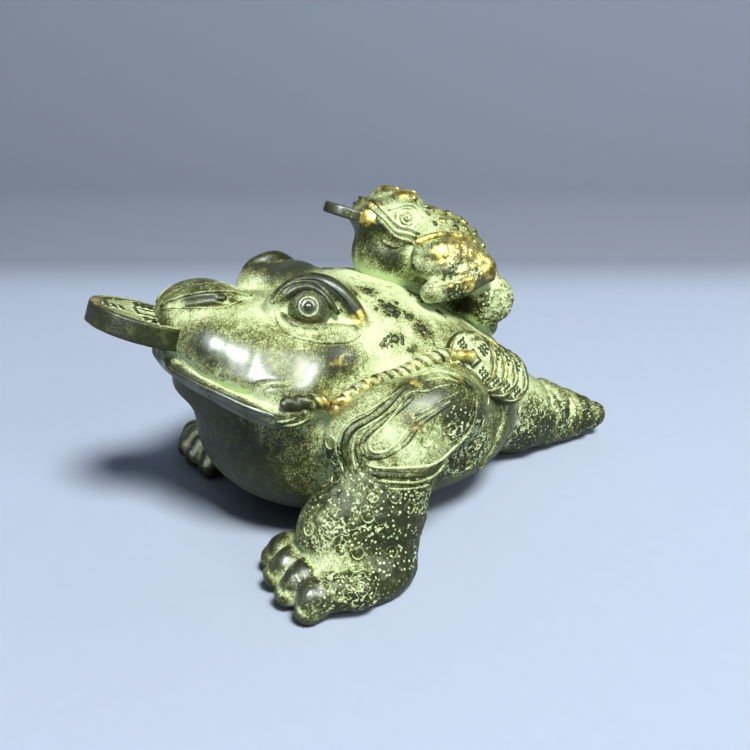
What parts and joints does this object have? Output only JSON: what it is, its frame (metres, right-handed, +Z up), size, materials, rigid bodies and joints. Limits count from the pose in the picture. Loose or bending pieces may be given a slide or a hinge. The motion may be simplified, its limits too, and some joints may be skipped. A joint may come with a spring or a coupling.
{
  "type": "money toad figure",
  "caption": "Cast figure of a three-legged toad with a coin in its mouth, a rope of coins on each flank and a small toad riding on its back.",
  "frame": {"origin": "on the ground, under the middle of the figure's length and width", "axes": "+Z up, +Y from the coin in the mouth toward the tail leg, +X toward the toad's left side"},
  "size_m": [0.1128, 0.1496, 0.0783],
  "materials": {
    "patinated_bronze": "dark bronze rubbed to gold on the high spots, with pale yellow-green powder in the recesses"
  },
  "bodies": {
    "root": {"toad_figure": "patinated_bronze"}
  },
  "joints": []
}
